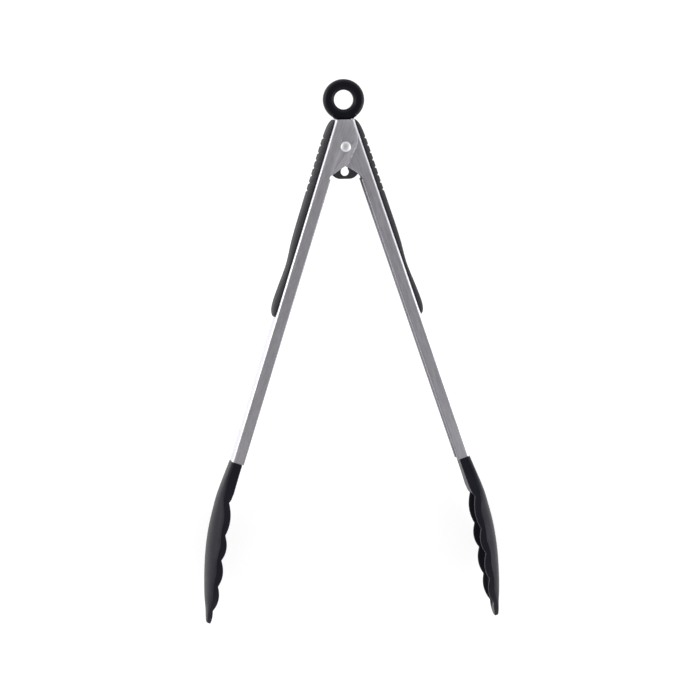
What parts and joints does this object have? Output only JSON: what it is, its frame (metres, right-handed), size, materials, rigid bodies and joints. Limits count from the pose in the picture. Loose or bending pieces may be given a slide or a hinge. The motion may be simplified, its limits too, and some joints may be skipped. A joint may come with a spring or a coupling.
{
  "type": "spring loaded kitchen tongs",
  "caption": "Spring loaded locking kitchen tongs with channel steel arms, soft grips, scalloped nylon heads and a pull ring lock.",
  "frame": {"origin": "centre of the hanging hole in the pull ring, half way through its thickness, with the ring pushed in", "axes": "+Z along the hanging hole and the pivot, up as the tongs lie on their side; +Y from the tips to the ring along the centre line; +X towards the inner arm"},
  "size_m": [0.1746, 0.3185, 0.0378],
  "materials": {
    "arm_steel": "brushed along the arm",
    "grip_rubber": "matte, fine texture",
    "head_nylon": "satin moulded nylon",
    "rivet_steel": "smooth turned",
    "spring_steel": "drawn wire",
    "plate_steel": "stamped, satin",
    "ring_plastic": "satin"
  },
  "bodies": {
    "pivot": {"pivot_rivet": "rivet_steel", "spacer_sleeve": "rivet_steel", "torsion_spring": "spring_steel"},
    "outer_arm": {"outer_arm": "arm_steel", "outer_grip": "grip_rubber", "outer_head": "head_nylon"},
    "inner_arm": {"inner_arm": "arm_steel", "inner_grip": "grip_rubber", "inner_head": "head_nylon"},
    "lock": {"lock_plate": "plate_steel", "pull_ring": "ring_plastic"}
  },
  "joints": [
    {"name": "outer_arm_swing", "type": "hinge", "parent": "pivot", "child": "outer_arm", "pos_m": [0, -0.0274, 0], "axis": [0, 0, 1], "range_deg": [0, 16.75], "stiffness_Nm_per_rad": 0.35, "springref_deg": -34.38, "deforming": ["torsion_spring"]},
    {"name": "inner_arm_swing", "type": "hinge", "parent": "pivot", "child": "inner_arm", "pos_m": [0, -0.0274, 0], "axis": [0, 0, 1], "range_deg": [-16.75, 0], "stiffness_Nm_per_rad": 0.35, "springref_deg": 34.38},
    {"name": "lock_slide", "type": "slide", "parent": "pivot", "child": "lock", "axis": [0, 1, 0], "range_m": [0, 0.014]}
  ],
  "couplings": [
    {"joint": "inner_arm_swing", "follows": "outer_arm_swing", "ratio": -1},
    {"joint": "lock_slide", "follows": "outer_arm_swing", "m_per_rad": 0.047884}
  ]
}
